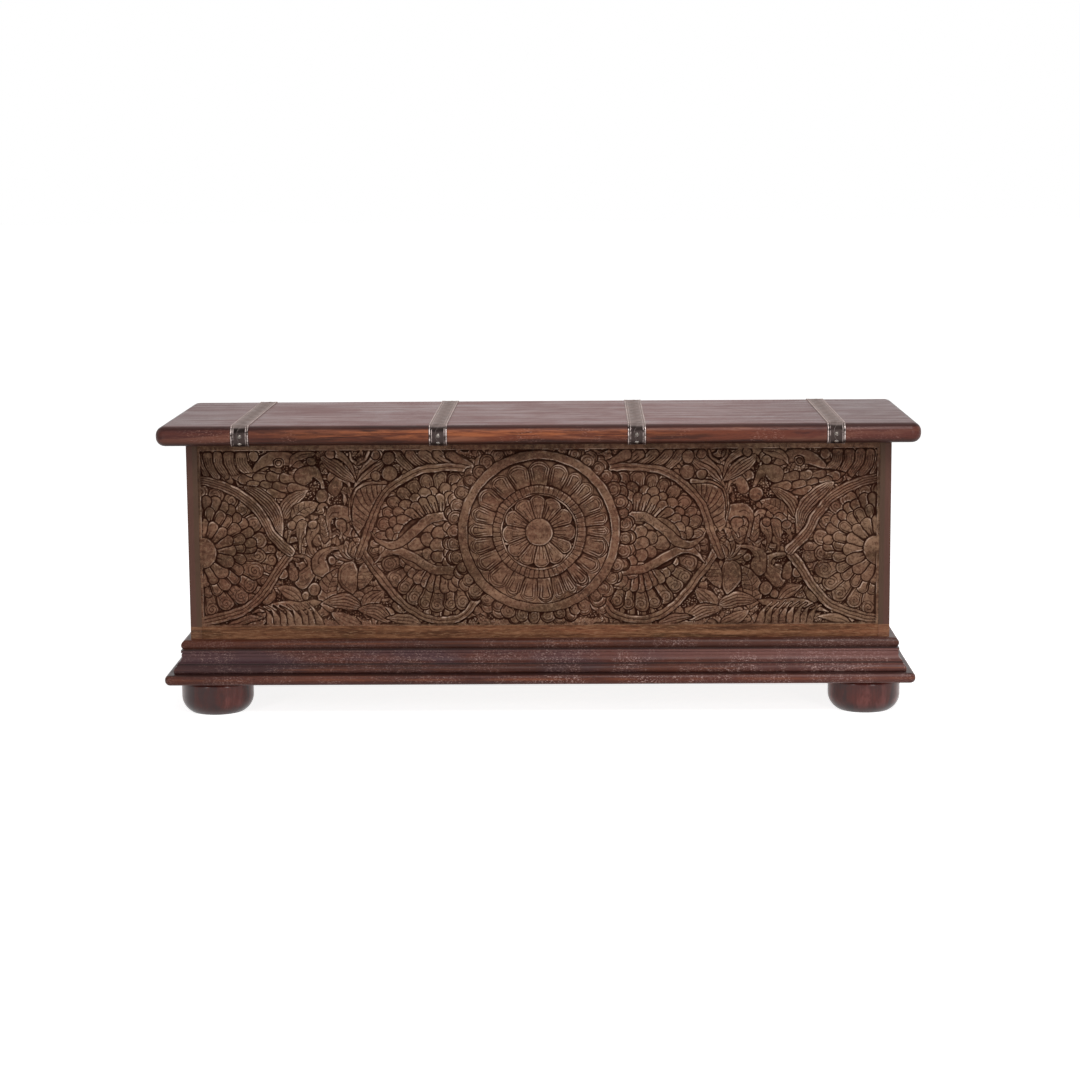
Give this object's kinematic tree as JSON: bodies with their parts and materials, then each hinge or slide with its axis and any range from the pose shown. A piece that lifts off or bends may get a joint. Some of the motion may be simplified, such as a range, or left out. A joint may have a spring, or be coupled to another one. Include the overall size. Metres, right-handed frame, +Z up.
{
  "type": "carved wooden storage chest",
  "caption": "Long wooden chest with a carved front, a hinged lid bound by iron straps, a moulded plinth and turned bun feet.",
  "frame": {"origin": "on the floor, under the middle of the chest", "axes": "+X along the chest's length to the viewer's right, -Y out of the carved front, +Z up"},
  "size_m": [1.3, 0.4456, 0.5087],
  "materials": {
    "lid_wood": "satin polished red-brown wood",
    "carved_wood": "matt weathered carved wood",
    "box_wood": "satin dark brown wood",
    "inner_wood": "plain unpolished wood",
    "plinth_wood": "satin dark red-brown wood, worn along the beads",
    "foot_wood": "polished dark mahogany wood",
    "strap_iron": "worn dark iron sheet with raised edge lines",
    "hinge_iron": "plain dark iron",
    "screw_steel": "plain steel"
  },
  "bodies": {
    "chest": {"floor_board_front": "inner_wood", "floor_board_rear": "inner_wood", "base_rail_middle": "inner_wood", "front_panel": "carved_wood", "back_panel": "box_wood", "left_end_board": "box_wood", "right_end_board": "box_wood", "base_rail_front": "plinth_wood", "base_rail_back": "plinth_wood", "base_rail_left": "plinth_wood", "base_rail_right": "plinth_wood", "plinth_foot_bead_front": "plinth_wood", "plinth_foot_bead_right": "plinth_wood", "plinth_foot_bead_back": "plinth_wood", "plinth_foot_bead_left": "plinth_wood", "plinth_ogee_front": "plinth_wood", "plinth_ogee_right": "plinth_wood", "plinth_ogee_back": "plinth_wood", "plinth_ogee_left": "plinth_wood", "plinth_bead_front": "plinth_wood", "plinth_bead_right": "plinth_wood", "plinth_bead_back": "plinth_wood", "plinth_bead_left": "plinth_wood", "foot_front_left": "foot_wood", "foot_front_right": "foot_wood", "foot_back_left": "foot_wood", "foot_back_right": "foot_wood", "hinge_box_leaf_left": "hinge_iron", "hinge_box_leaf_middle": "hinge_iron", "hinge_box_leaf_right": "hinge_iron", "hinge_pin_left": "hinge_iron", "hinge_pin_middle": "hinge_iron", "hinge_pin_right": "hinge_iron", "floor_screws": "screw_steel", "wall_screws": "screw_steel", "hinge_box_screws": "screw_steel"},
    "lid": {"lid_board_front": "lid_wood", "lid_board_middle": "lid_wood", "lid_board_rear": "lid_wood", "lid_batten_left": "inner_wood", "lid_batten_right": "inner_wood", "strap_left_outer": "strap_iron", "strap_left_inner": "strap_iron", "strap_right_inner": "strap_iron", "strap_right_outer": "strap_iron", "strap_nails": "strap_iron", "hinge_lid_leaf_left": "hinge_iron", "hinge_lid_leaf_middle": "hinge_iron", "hinge_lid_leaf_right": "hinge_iron", "hinge_lid_screws": "screw_steel", "batten_screws": "screw_steel"}
  },
  "joints": [
    {"name": "lid_hinge", "type": "hinge", "parent": "chest", "child": "lid", "pos_m": [0, 0.1793, 0.4677], "axis": [-1, 0, 0], "range_deg": [0, 98]}
  ]
}
